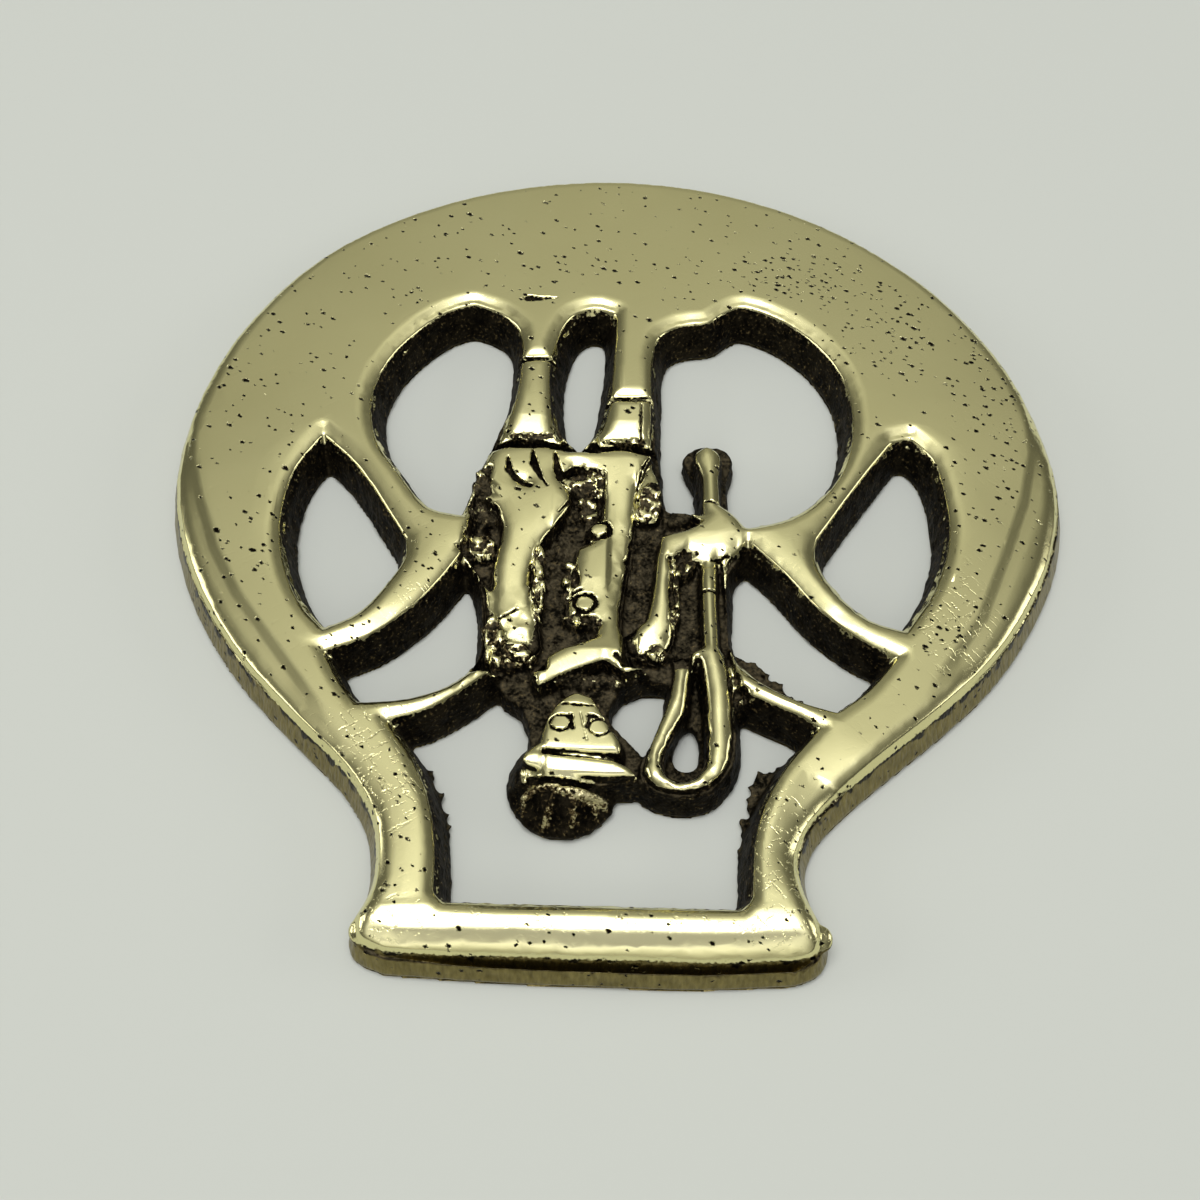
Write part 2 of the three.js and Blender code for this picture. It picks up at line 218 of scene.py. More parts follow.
def bead(x, y):
    """A rounded lump at a corner of the hanger."""
    bpy.ops.object.select_all(action="DESELECT")
    bpy.ops.mesh.primitive_uv_sphere_add(
        segments=24, ring_count=12, radius=BEAD_RADIUS, location=(x, y, BEAD_HEIGHT)
    )
    made = bpy.context.object
    bpy.ops.object.transform_apply(location=True, rotation=True, scale=True)
    return made


FLASH_REACH = 1
FLASH_ROOT = 1.2  # how deep it sits in the wall
FLASH_HEIGHT = 0.35
FLASH_THICKNESS = 0.5


def flash(path, seed):
    """A ragged fin of metal that ran out between the halves of the mould, along a back edge."""
    spans = len(path) - 1
    bpy.ops.object.select_all(action="DESELECT")
    bpy.ops.mesh.primitive_grid_add(x_subdivisions=24 * spans, y_subdivisions=3, size=1)
    fin = bpy.context.object
    points = points_of(fin)
    knots = np.array(path)
    run = (points[:, 0] + 0.5) * spans
    middle, ahead, behind = (
        np.column_stack([np.interp(run + step, range(len(path)), knots[:, i]) for i in (0, 1)])
        for step in (0, 0.05, -0.05)
    )
    along = ahead - behind
    along /= np.hypot(*along.T)[:, None]
    left = np.column_stack([-along[:, 1], along[:, 0]])
    out = points[:, 1] + 0.5
    flat = np.column_stack([middle, 0 * out])
    rag = 0.6 + 0.5 * swell(flat, 0.9, seed) + 0.5 * swell(flat, 0.35, seed + 1)
    ends = np.sin(np.pi * np.clip(run / spans, 0, 1)) ** 0.5
    away = (out * (FLASH_REACH * rag * ends + FLASH_ROOT) - FLASH_ROOT)[:, None] * left
    height = FLASH_HEIGHT + 0.12 * swell(flat, 1, seed + 2)
    place_points(fin, np.column_stack([middle + away, height]))
    finish_with(fin, "SOLIDIFY", thickness=FLASH_THICKNESS, offset=0)
    return fin


def join(piece, *others):
    """Makes the others part of the piece."""
    make_active(piece)
    for other in others:
        other.select_set(True)
    bpy.ops.object.join()


def cut_fine(piece):
    """Melts the joined forms into one skin of small even cells, and takes off their steps."""
    finish_with(piece, "REMESH", mode="VOXEL", voxel_size=GRAIN, adaptivity=0)
    finish_with(piece, "SMOOTH", factor=0.5, iterations=3)


# ---- What the polisher did ----

def soften(values, edges, rounds):
    """Evens out values on the points of a mesh, each with its neighbours."""
    ends = np.concatenate([edges[:, 0], edges[:, 1]])
    others = np.concatenate([edges[:, 1], edges[:, 0]])
    count = np.bincount(ends, minlength=len(values))
    for _ in range(rounds):
        values = 0.5 * values + 0.5 * np.bincount(ends, values[others], len(values)) / count
    return values


def round_place(points, x, y, radius, fade):
    """1 within a round place in plan, and 0 from its radius on."""
    return ramp(radius - np.hypot(points[:, 0] - x, points[:, 1] - y), 0, fade)


# Round places: the middle in plan, the radius and the fade.
HEAD = (-2.2, -28.6, 5.8, 1)  # of the figure, which the mop hardly reached
CALM_PLACE = (22, -26, 11.5, 3)  # the start of the right slope, where the mop took almost nothing
CAP = (-3.3, -31, 6.6, 0.6)


def wear_rims(piece):
    """Rounds every edge of the face, and wears down the edges that face the hanger: softly all along
    the struts, and in a firm bevel round the windows."""
    points = points_of(piece)
    flat = points[:, 2] > FACE - 0.06
    edges = edges_of(piece)
    mixed = edges[flat[edges[:, 0]] != flat[edges[:, 1]]]
    rim = np.unique(mixed[flat[mixed]])
    upper = points[:, 2] > FACE - 1.5
    way = way_to(points[upper], points[rim])
    inward = np.hypot(*way.T)
    hangerwards = ramp(-way[:, 1] / np.maximum(inward, 0.05), -0.4, 0.9)
    inward = np.where(flat[upper], inward, 0)

    struts = 0.05 + 0.95 * ramp(-points[upper, 1], -8, -1)
    calm = 1 - 0.95 * round_place(points[upper], *CALM_PLACE)
    soft = np.zeros(len(points))
    soft[upper] = SOFT_DEPTH * (0.1 + 0.9 * hangerwards) * np.clip(1 - inward / SOFT_REACH, 0, 1) ** 2
    soft = soften(soft, edges, 24)[upper] * struts * calm
    bevel = np.zeros(len(points))
    bevel[upper] = BEVEL_DEPTH * hangerwards * np.clip(1 - inward / BEVEL_REACH, 0, 1)
    bevel = soften(bevel, edges, 6)[upper] * (1.2 - struts) * calm
    narrow = np.zeros(len(points))
    narrow[upper] = ROUND_DEPTH * np.clip(1 - inward / ROUND_REACH, 0, 1) ** 2
    narrow = soften(narrow, edges, 2)[upper]

    wear = (soft + bevel + narrow) * (1 + 0.4 * swell(points[upper], 6, 11))
    wear *= 1 - 0.75 * round_place(points[upper], *HEAD)
    points[upper, 2] -= wear * at_top(points[upper], 1.5, 0.6)
    place_points(piece, points)


# The two broad slopes that were filed along the near edges of the body: how far along its inner line
# each begins, and that line.
SLOPES = [
    (0.5, [
        (-21.5, -28.5), (-24, -24.5), (-28.5, -18.5), (-32.2, -13.5), (-35, -8.5), (-37.2, -3), (-38.8, 2),
        (-39.8, 8), (-40.8, 14),
    ]),
    (4, [(24, -28), (28.5, -21), (32.6, -15), (35.6, -8), (38, -2), (39.6, 4), (40.1, 12), (40.6, 19)]),
]
SLOPE_STEP = 0.24
SLOPE_FALL = 0.4


def file_slopes(piece):
    """Each slope starts with a short steep step, runs almost level, and ends in a crisp outer ridge."""
    points = points_of(piece)
    top = at_top(points)
    for start, path in SLOPES:
        gap, side, way = beside_path(points, path)
        outwards = side * path[0][0] < 0
        beside = (points[:, 0] * path[0][0] > 0) & (gap < 9)
        fade = ramp(way, start, start + 8) * ramp(-way, -way.max() + 0.2, -way.max() + 9)
        drop = SLOPE_STEP * ramp(gap, 0, 1.2) + SLOPE_FALL * ramp(gap, 2, 5.4)
        points[:, 2] -= np.where(outwards & beside, drop * fade, 0) * top
    place_points(piece, points)


# The inner line of the neck on the right, whose face leans outwards.
LEANING_NECK = [(11.9, -42.5), (12.6, -36), (15.3, -29.8), (19.5, -25), (25, -19.5)]
NECK_LEAN = 0.15  # how much it falls in each millimetre


def lean_neck(piece):
    """Tilts the face of the right neck outwards, from nothing at the hanger."""
    points = points_of(piece)
    gap, side, way = beside_path(points, LEANING_NECK)
    outwards = (side < 0) & (points[:, 0] > 8) & (gap < 9)
    fade = ramp(way, 1, 5) * ramp(-way, -way.max() + 8, -way.max() + 18)
    lean = np.where(outwards, NECK_LEAN * np.minimum(gap, 5) * fade, 0)
    points[:, 2] -= lean * at_top(points)
    place_points(piece, points)


# The hanger bar across: places in y, and how far the mop took them down.
BAR_FALLS = [
    (-42.6, 0.06), (-43.2, 0), (-44, 0.1), (-44.9, 0.28), (-45.3, 0.42), (-46.2, 0.86), (-46.5, 1.08),
    (-46.8, 1.42), (-47.6, 2.8), (-48.6, 3),
]


def crown_bar(piece):
    """The hanger bar falls away towards its outer side, in two flats, and ends in a crisp ridge."""
    points = points_of(piece)
    places, drops = np.array(BAR_FALLS)[::-1].T
    wander = 0.22 * swell(points * (1, 0, 0), 9, 15) + 0.05 * swell(points * (1, 0, 0), 1.2, 16)
    drop = np.interp(points[:, 1] + wander, places, drops)
    on_bar = ramp(-points[:, 1], 42.2, 43.2) * ramp(points[:, 2], 2.2, 3.6)
    points[:, 2] -= on_bar * drop
    place_points(piece, points)


# How each limb falls away along its length: its stretch in x, then places in y and the drop there.
LIMB_FALLS = [
    # the sleeve with the hand
    (-11.2, -5.2, [(-1, 0), (-5, 0.12), (-9, 0.45), (-12, 0.75), (-17, 1.25), (-20.5, 1.9)]),
    # the flap of the coat, and its front edge
    (-3.3, 0.1, [
        (2.6, 0), (1, 0.12), (-3, 0.5), (-8, 0.6), (-11, 0.62), (-13, 0.85), (-15.5, 0.8), (-18.6, 0.2),
        (-19, 0),
    ]),
    (0.4, 2.6, [
        (2.6, 0), (1, 0.16), (-3, 0.62), (-8, 0.95), (-11, 0.95), (-15.5, 0.8), (-18.6, 0.2), (-19, 0),
    ]),
    # the other sleeve, and its upper arm
    (1.8, 7.4, [(-9, 0), (-12, 0.15), (-16, 0.6), (-18, 1), (-20, 1.6)]),
    (7.4, 12, [(-6.2, 0), (-7.5, 0.15), (-9.2, 0.6)]),
    # the legs
    (-11, -4.6, [(10.5, 0), (8, 0.15), (6, 0.6), (4.6, 0.9)]),
    (-0.9, 4.6, [(9.5, 0), (7.3, 0.15), (5.6, 0.55), (4.6, 0.8)]),
    # the face and the peak of the cap
    (-6, 2.6, [
        (-23, 0.3), (-24.4, 0.12), (-27, 0.1), (-28.9, 0.12), (-29.3, 0.22), (-29.6, 0.05), (-31.6, 0.5),
    ]),
    # the loop of the whip
    (3.3, 11.4, [(-19.5, 0), (-23, 0.18), (-28, 0.58), (-31, 0.8), (-33, 0.95)]),
]


def lower_limbs(piece):
    """The limbs lie less high towards their ends, each in its own way."""
    points = points_of(piece)
    x, y, _ = points.T
    top = at_top(points, 1.7, 1)
    for low, high, falls in LIMB_FALLS:
        places, drops = np.array(falls)[::-1].T
        here = (y > places[0] - 0.8) & (y < places[-1] + 0.4)
        across = ramp(x, low - 0.3, low) * ramp(-x, -high - 0.3, -high)
        points[:, 2] -= np.where(here, np.interp(y, places, drops), 0) * across * top
    place_points(piece, points)


def swell_face(piece):
    """The face was never quite flat: long soft waves that only its reflections show."""
    points = points_of(piece)
    wave = 0.05 * swell(points, 11, 21) + 0.012 * swell(points, 3.5, 22) - 0.06
    points[:, 2] += wave * at_top(points)
    place_points(piece, points)


# ---- Lines cut into the face ----

def ring(x, y, across, high):
    """A closed ring of points, across and high being its half axes."""
    turns = [math.tau * i / 24 for i in range(25)]
    return [(x + across * math.cos(t), y + high * math.sin(t)) for t in turns]


# Each line: its way, its width at the start and at the end, and its depth.
CUT_LINES = [
    (ring(-3.55, -26.6, 0.9, 0.76), 0.24, 0.24, 0.4),  # eyes
    (ring(-0.25, -27, 0.92, 0.78), 0.24, 0.24, 0.4),
    ([(-2.7, -25.9), (-2.5, -27.1)], 0.34, 0.45, 0.35),
    ([(-1.1, -25.9), (-0.1, -26.1)], 0.5, 0.2, 0.3),
    ([(-1.15, -26.2), (-1.3, -27)], 0.3, 0.4, 0.3),
    ([(-1.9, -25.6), (-1.65, -26.8), (-1.3, -28.2)], 0.1, 0.14, 0.08),  # beside the nose
    ([(-3.35, -24.7), (-2, -24.85), (-0.8, -24.9)], 0.26, 0.16, 0.35),  # mouth
    ([(-4.75, -29.3), (-3.4, -29.55), (-2, -29.65), (-0.2, -29.75), (1.3, -29.8)], 0.55, 0.2, 0.45),
    ([(-6, -31.5), (-4.4, -31.7), (0, -32.1), (2.4, -31.7)], 0.6, 0.4, 0.5),  # above the peak
    (ring(-0.7, -5.6, 1, 0.95), 0.55, 0.55, 0.7),  # buttons
    (ring(-1.8, -13.75, 0.98, 0.92), 0.4, 0.4, 0.6),
    ([(-3.4, -12.8), (-2.1, -12.3)], 0.4, 0.25, 0.4),
    ([(1, -19.65), (1.75, -20.4)], 0.45, 0.5, 0.4),  # collar stud
    ([(-9.4, 2.4), (-9.2, 0.9)], 0.16, 0.7, 0.5),  # gaps between the fingers
    ([(-9.2, 0.9), (-8.6, -0.1), (-7.2, -0.9)], 0.7, 0.6, 0.55),
    ([(-7.15, 3.6), (-6.95, 1.8)], 0.16, 0.75, 0.5),
    ([(-6.95, 1.8), (-6.4, 0.4), (-5.6, -1)], 0.8, 0.14, 0.55),
    ([(-4.95, 3.1), (-4.8, 1.6), (-4.4, 0.3)], 0.3, 0.9, 0.6),
    ([(-9.4, 15.35), (-7, 15.3), (-5.3, 15.4)], 0.34, 0.2, 0.4),  # tops of the boots
    ([(-0.1, 9.9), (0.9, 10.05), (1.8, 10.25)], 0.45, 0.2, 0.45),
    ([(2.4, 10.05), (4, 10.1)], 0.14, 0.34, 0.4),
    ([(3.15, 9.4), (3.1, 5.2)], 0.14, 0.24, 0.18),  # seams
    ([(3.9, 2.9), (3.2, 1.2), (2.75, -0.9)], 0.22, 0.16, 0.3),
    ([(-9.5, -15.5), (-8.8, -15.1), (-7.8, -14.5)], 0.28, 0.12, 0.22),
    ([(-3.4, -2.5), (-4.4, -3.9)], 0.14, 0.3, 0.25),
    ([(9.6, -8.95), (10.3, -8.8), (11.1, -8.45)], 0.34, 0.2, 0.4),  # wrist
    ([(8.5, -12.75), (9.9, -12.75)], 0.32, 0.32, 0.4),  # end of the grip
    ([(9.2, -2.5), (10.8, -2.8)], 0.4, 0.25, 0.3),  # foot of the stick
    ([(-8.4, 23.6), (-7.4, 23.55), (-6.8, 23.6), (-5.5, 23.75)], 0.9, 0.1, 0.3),  # a hole in the casting
    ([(-11.2, 4.3), (-9, 4.75), (-7, 4.8), (-5, 4.5)], 1.1, 1, 1.3),  # behind the hem, below each leg
    ([(0, 4.2), (2, 4.4), (4.4, 4)], 0.8, 0.9, 1.3),
]


def depth_of_lines(points, spare=0):
    """How deep the cut lines go at each point, in plan."""
    depth = np.zeros(len(points))
    ragged = 0.08 * swell(points * (1, 1, 0), 0.4, 61)
    for path, width, end_width, deep in CUT_LINES:
        knots = np.array(path)
        middle = knots.mean(axis=0)
        near = np.hypot(*(points[:, :2] - middle).T) < np.hypot(*(knots - middle).T).max() + 2
        gap, _, way = beside_path(points[near], path)
        half = np.interp(way, [0, way.max()], [width / 2, end_width / 2])
        depth[near] = np.maximum(depth[near], deep * ramp(half + spare + ragged[near] - gap, -0.03, 0.08))
    return depth


def refine(piece, wanted):
    """Cuts the faces whose middles are wanted into four."""
    mesh = piece.data
    make_active(piece)
    bpy.context.tool_settings.mesh_select_mode = (False, False, True)
    bpy.ops.object.mode_set(mode="EDIT")
    bpy.ops.mesh.select_all(action="DESELECT")
    bpy.ops.object.mode_set(mode="OBJECT")
    middles = np.empty(len(mesh.polygons) * 3, np.float32)
    mesh.polygons.foreach_get("center", middles)
    mesh.polygons.foreach_set("select", wanted(middles.reshape(-1, 3).astype(float)))
    bpy.ops.object.mode_set(mode="EDIT")
    bpy.ops.mesh.subdivide(number_cuts=1)
    bpy.ops.object.mode_set(mode="OBJECT")


def beside_line(points, reach, down):
    """True within reach of a cut line, and no deeper than down below the face."""
    return (depth_of_lines(points, reach) > 0) & (points[:, 2] > FACE - down)


def cut_lines(piece):
    """Presses the cut lines into the face, on a mesh that is made finer beside them."""
    refine(piece, lambda middles: beside_line(middles, 0.25, 1.8))
    points = points_of(piece)
    points[:, 2] -= depth_of_lines(points) * at_top(points, 1.9, 1.6)
    place_points(piece, points)


# ---- What the mould left ----

# Rough places left standing beside the polished forms: x, y, half width, half height, level,
# and how golden they are worn.
ROUGH_PLACES = [
    (-2.5, 0.1, 1.8, 1.3, 3.6, 0.5),
    (-1.6, -2.4, 1, 1.8, 3.3, 0.4),
    (-3.3, -2.9, 0.7, 1.2, 2.9, 0.1),
    (4.1, -2, 1, 1.9, 3.8, 0.65),
    (3.4, -3.6, 1, 0.8, 3.7, 0.85),
    (6.4, -3.7, 1.3, 0.9, 3.3, 0.05),
    (-11.5, -3.6, 1.4, 1.6, 3.3, 0.2),
    (-11.5, -7.6, 1.6, 1.5, 3.7, 0.75),
    (-11.6, -0.4, 0.8, 2.4, 4, 0.4),
    (-8, -19.3, 2.4, 1.2, 3.7, 0.9),
    (-9.6, -17.7, 1, 1.9, 3.9, 0.9),
    (-6, -11, 0.5, 3.8, 3.9, 0.7),
    (-3.2, -10.8, 0.8, 1.9, 3, 0.4),
    (-1.9, -15.5, 1.7, 0.6, 3.5, 0.5),
    (-1.4, -21.5, 3.2, 0.7, 3.2, 0.25),
    (4.4, -18.9, 1.6, 0.7, 3.7, 0.75),
    (6.2, -13, 0.5, 4.2, 3.8, 0.65),
    (7, -9.6, 1.1, 1.2, 3.7, 0.5),
    (2.9, -9.5, 0.9, 5, 2.6, 0.1),
    (-4.6, -8.5, 1, 3, 2.6, 0.1),
    (11.5, -22.6, 0.8, 1.5, 3.4, 0.4),
    (-7.3, 5.65, 2.4, 0.35, 3.9, 0.9),
    (1.8, 5.1, 2, 0.3, 3.9, 0.9),
]
ROUGH_LEAN = 0.12  # how much a worn one falls towards the hanger in each millimetre

# The ribs of the cap, and the roll above its peak: ways, half widths, and how golden they are worn.
CAP_RIBS = [
    ([(-6.3, -33), (-5.2, -31.9), (-4.2, -31.9), (-3.4, -32.6), (-1.4, -32.9), (0.2, -33)], 0.3, 1.2),
    ([(-3.8, -32.9), (-4.7, -35)], 0.2, 0.75),
    ([(-2.2, -32.8), (-2.4, -34.8)], 0.22, 0.8),
    ([(-0.5, -32.9), (-0.4, -34)], 0.15, 0.6),
    ([(-6.1, -32.9), (-6.6, -33.6)], 0.2, 0.6),
]


def rough_share(points):
    """From 0 to 1, how rough the skin is at each point, how golden, and the level there. A form that
    stands well above the level of a rough place is left as it is."""
    share = np.zeros(len(points))
    level = np.full(len(points), FACE)
    golden = np.zeros(len(points))
    ragged = 0.4 * swell(points * (1, 1, 0), 0.9, 41) + 0.2 * swell(points * (1, 1, 0), 0.4, 44)
    for x, y, wide, high, height, worn in ROUGH_PLACES:
        away = np.hypot((points[:, 0] - x) / wide, (points[:, 1] - y) / high) + ragged
        here = ramp(1.15 - away, 0, 0.3) * ramp(height + 0.9 - points[:, 2], 0, 0.2)
        level = np.where(here > share, height + ROUGH_LEAN * worn * (points[:, 1] - y), level)
        golden = np.where(here > share, worn, golden)
        share = np.maximum(share, here)
    return share, level, golden


def crests(points, golden):
    """The lumps of the rough places, in plan: above 0 where the mop reached them."""
    flat = points * (1, 1, 0)
    folds = 0.5 - 2 * np.abs(swell(flat, 0.42, 43))
    return 0.55 * swell(flat, 0.62, 42) + 0.42 * folds - (0.42 - 0.55 * golden)


def roughen_places(piece):
    """Lumps of sand skin, their crests rubbed flatter, that lean towards the hanger where they are worn."""
    points = points_of(piece)
    share, level, golden = rough_share(points)
    above = ramp(points[:, 2], 1.6, 2.1)
    lumps = crests(points, golden)
    lumps = level + 0.55 * np.where(lumps > 0, 0.45 * lumps, lumps)
    points[:, 2] += (lumps - points[:, 2]) * share * above * ramp(normals_of(piece)[:, 2], -0.2, 0.4)
    place_points(piece, points)


def on_cap(points):
    """1 on the crown of the cap, beyond its peak."""
    return ramp(-points[:, 1], 31.7, 32.1) * round_place(points, *CAP)


def rib_share(points):
    """How far each point stands on a rib of the cap."""
    share = np.zeros(len(points))
    for path, half, worn in CAP_RIBS:
        gap, _, _ = beside_path(points, path)
        share = np.maximum(share, worn * ramp(half + 0.2 - gap, 0, 0.2))
    return share * on_cap(points)


def rib_cap(piece):
    """Ribs gathered below the roll of the cap, standing out between dark hollows."""
    points = points_of(piece)
    share = rib_share(points)
    push = (0.4 * share - 0.4) * on_cap(points) * ramp(points[:, 2], 0.8, 1.8)
    points += push[:, None] * normals_of(piece)
    place_points(piece, points)


def roughen_skin(piece):
    """The skin of the sand mould, on the walls of the openings and in the recesses."""
    points = points_of(piece)
    normals = normals_of(piece)
    low = 1 - ramp(points[:, 2], FACE - 1.2, FACE - 0.7)
    back = ramp(points[:, 2], 0.02, 0.25)
    grain = 0.09 * swell(points, 0.9, 31) + 0.06 * swell(points, 0.42, 32)
    points += (grain * low * back * np.where(outer_wall(points), 0.25, 1))[:, None] * normals
    place_points(piece, points)


def ease_back_edges(piece):
    """The edges of the back were never sharp, so a thin shadow lies under them."""
    points = points_of(piece)
    sideways = normals_of(piece) * (1, 1, 0)
    ease = BACK_EASE * np.clip(1 - points[:, 2] / BACK_EASE_HEIGHT, 0, 1) ** 2
    points -= sideways * ease[:, None]
    place_points(piece, points)


# The middle line of the necks, from the bar to where they meet the body: places in y, and half widths.
NECK_PLACES = [-42, -38.6, -35, -31, -26]
NECK_MIDDLES = [15.3, 15.5, 16.2, 18.3, 22]
BODY_MIDDLE = 34
BAR_MIDDLE = -45.3


def outer_wall(points):
    """True outside the middle of the band that runs round the body, the necks and the hanger bar."""
    x, y = points[:, 0], points[:, 1]
    beyond_neck = np.abs(x) > np.interp(y, NECK_PLACES, NECK_MIDDLES)
    return np.where(y > NECK_PLACES[-1], np.hypot(x, y) > BODY_MIDDLE, beyond_neck | (y < BAR_MIDDLE))


def keep_inside_solid(piece):
    """The finish takes metal away: nothing may stand out of the solid's own box."""
    points = points_of(piece)
    low = (solid_low - CENTRE) / MM
    high = (solid_high - CENTRE) / MM
    place_points(piece, np.clip(points, low, high))


def thin(piece):
    """Fewer and larger triangles wherever the surface is calm, but none taken beside a cut line."""
    kept = piece.vertex_groups.new(name="beside_cut")
    kept.add(np.flatnonzero(beside_line(points_of(piece), 0.22, 1.3)).tolist(), 1, "REPLACE")
    triangles = sum(len(face.vertices) - 2 for face in piece.data.polygons)
    share = min(1, TRIANGLES / triangles)
    finish_with(piece, "DECIMATE", ratio=share, vertex_group=kept.name, invert_vertex_group=True)
    piece.vertex_groups.clear()


LOOKS_DOWN = -0.98  # how far a face of the back points down, at the least


def settle_into_frame(piece):
    """Back into the frame, in metres, with smooth shading everywhere but on the flat back."""
    piece.data.transform(Matrix.Translation(CENTRE) @ Matrix.Scale(MM, 4))
    make_active(piece)
    bpy.ops.object.shade_smooth()
    for face in piece.data.polygons:
        if face.normal.z < LOOKS_DOWN:
            face.use_smooth = False
    finish_with(piece, "WEIGHTED_NORMAL", mode="FACE_AREA", weight=50, keep_sharp=True)


# ---- Finishes painted on the mesh ----

# Where the pits of the casting crowd together: a place in plan, its reach in x and y, and how many.
PIT_CROWDS = [
    (18.5, 27, 7, 3.2, 1.5),
    (27, 20, 7, 7, 0.7),
    (-34, -10, 5, 10, 0.6),
    (29.5, -16.5, 3.5, 2.5, 1),
    (38, 12, 4, 12, 0.9),
    (33, -4, 5, 8, 0.5),
    (-16, -34, 4, 8, 0.4),
    (-18, -9, 5, 6, 0.5),
    (-37, 10, 5, 12, 0.4),
    (-25, -19, 5, 3, 0.6),
]
PITS_EVERYWHERE = 0.22

# Where the brass was scratched and nicked in use, in the same way.
SCRATCHED = [
    (-18, -29, 4.5, 8, 1),
    (14.5, -38, 3, 6, 0.8),
    (30, -16, 4, 5, 0.7),
    (-16, -44.3, 4, 1.6, 0.8),
    (14.5, -44.3, 4, 1.6, 1),
    (0, -44, 16, 1.2, 0.6),
    (-15, -15, 4, 3, 0.6),
]
SCRATCHES_EVERYWHERE = 0.05


def share_near(points, places, least, edge, fade):
    """Least everywhere, and more near the places. It rises within a fade from the edge, in reaches."""
    share = np.full(len(points), least)
    for x, y, wide, high, much in places:
        away = np.hypot((points[:, 0] - x) / wide, (points[:, 1] - y) / high)
        share = np.maximum(share, much * ramp(edge - away, 0, fade))
    return share


def store(piece, name, values):
    attribute = piece.data.attributes.new(name, "FLOAT", "POINT")
    attribute.data.foreach_set("value", values.astype(np.float32))


def mark_finishes(piece):
    """Shares from 0 to 1 that the material reads, point by point."""
    points = points_of(piece)
    height = points[:, 2]
    up = normals_of(piece)[:, 2]
    outer = outer_wall(points)
    cap = on_cap(points)
    cut = ramp(depth_of_lines(points), 0.04, 0.16) * at_top(points, 2.6, 2.2)
    rough, _, golden = rough_share(points)
    rough *= ramp(height, 1.9, 2.2)
    crest = crests(points, golden)
    rubbed = ramp(crest, -0.2, 0.25) * ramp(golden, 0.08, 0.3) * ramp(up, 0.2, 0.5)

    # The mop reached lower down on the bar, and a little round the outer edges.
    reached = ramp(height + 0.5 * ramp(-points[:, 1], 42, 43.5), FACE - 1.7, FACE - 1.2)
    polish = reached * ramp(up + np.where(outer, 0.25, 0), 0.35, 0.7)
    polish = np.maximum(polish * (1 - rough) * (1 - cap) * (1 - cut), rough * rubbed)

    under_rim = at_top(points, 1.7, 0.9) * np.where(outer, 0, 0.15) * (1 - rough) * (1 - cap)
    ribs = rib_share(points) * (1.15 + crests(points, 0.8))
    worn = np.maximum(np.maximum(rough * golden * ramp(crest, -0.5, 0), ribs), under_rim) * (1 - cut)

    store(piece, "polish", polish)
    store(piece, "worn", worn)
    store(piece, "filed", np.where(outer, 1.0, 0.0) * (1 - ramp(up, 0.5, 0.8)) * ramp(up, -0.6, -0.2))
    # 1 on faces that turn up, where the recess colour is lighter and greyer.
    store(piece, "open", ramp(up, 0.4, 0.9) * (1 - cap) * (1 - cut))
    # The back counts up to its very edge, so that its long triangles have one colour.
    store(piece, "back", ramp(-up, 0, 0.3) * ramp(-height, -0.3, -0.1))
    store(piece, "pitted", share_near(points, PIT_CROWDS, PITS_EVERYWHERE, edge=1.4, fade=1))
    store(piece, "scratched", share_near(points, SCRATCHED, SCRATCHES_EVERYWHERE, edge=1.3, fade=0.8))


# ---- Materials ----

MATH = "ShaderNodeMath"
VECTOR_MATH = "ShaderNodeVectorMath"
RANGE = "ShaderNodeMapRange"
MIX = "ShaderNodeMix"
NOISE = "ShaderNodeTexNoise"
MAPPING = "ShaderNodeMapping"
SPLIT = "ShaderNodeSeparateXYZ"
COLOURS = {"data_type": "RGBA"}

# The brass, from the sooty skin of the mould to the polished face.
WALL_SOOT = ("#0f0d09", "#2b261b")
RECESS_SOOT = ("#14120c", "#5c5440")  # lighter and greyer on the faces that turn up
RUBBED_BROWN = "#6b5c3c"
GRAIN_GOLD = "#d6cc9a"
FILE_STROKES = ("#4f4628", "#9c8f5a")
BACK_BRASS = "#8f845a"
FACE_GOLD = ("#e2dba0", "#ebe5ac")
# The dark in the pits is partly dirt and partly painted shade, since the pits are only a bump in the surface.
PIT_DIRT_AND_SHADE = "#16110a"

# Pits of three sizes: how far apart, their radius in that measure, and how many are kept.
PITS = [(0.5, 0.26, 0.6), (0.85, 0.23, 0.9), (1.7, 0.16, 0.5)]
PIT_LENGTH, PIT_TURN = 1.6, -35  # they are drawn out one way
SCRATCH_WIDTH, SCRATCH_LENGTH = 0.24, 6
SCRATCH_TURNS = (30, -50)
STROKE_WIDTH = 0.35
RELIEF = 0.12  # how high a bump stands


def colour(code):
    """A hex colour, from sRGB to linear."""
    channels = [int(code[i:i + 2], 16) / 255 for i in (1, 3, 5)]
    linear = [c / 12.92 if c <= 0.04045 else ((c + 0.055) / 1.055) ** 2.4 for c in channels]
    return (*linear, 1)


def node(tree, kind, settings=None, **links):
    """Adds a node. Settings are its own properties, and links fill its inputs by name or by number."""
    made = tree.nodes.new(kind)
    for name, value in (settings or {}).items():
        setattr(made, name, value)
    for name, value in links.items():
        socket = made.inputs[int(name[1:])] if name[1:].isdigit() else made.inputs[name.replace("_", " ")]
        if isinstance(value, bpy.types.NodeSocket):
            tree.links.new(value, socket)
        else:
            socket.default_value = value
    return made


def new_material(name):
    material = bpy.data.materials.new(name)
    material.use_nodes = True
    tree = material.node_tree
    tree.nodes.clear()
    return material, tree


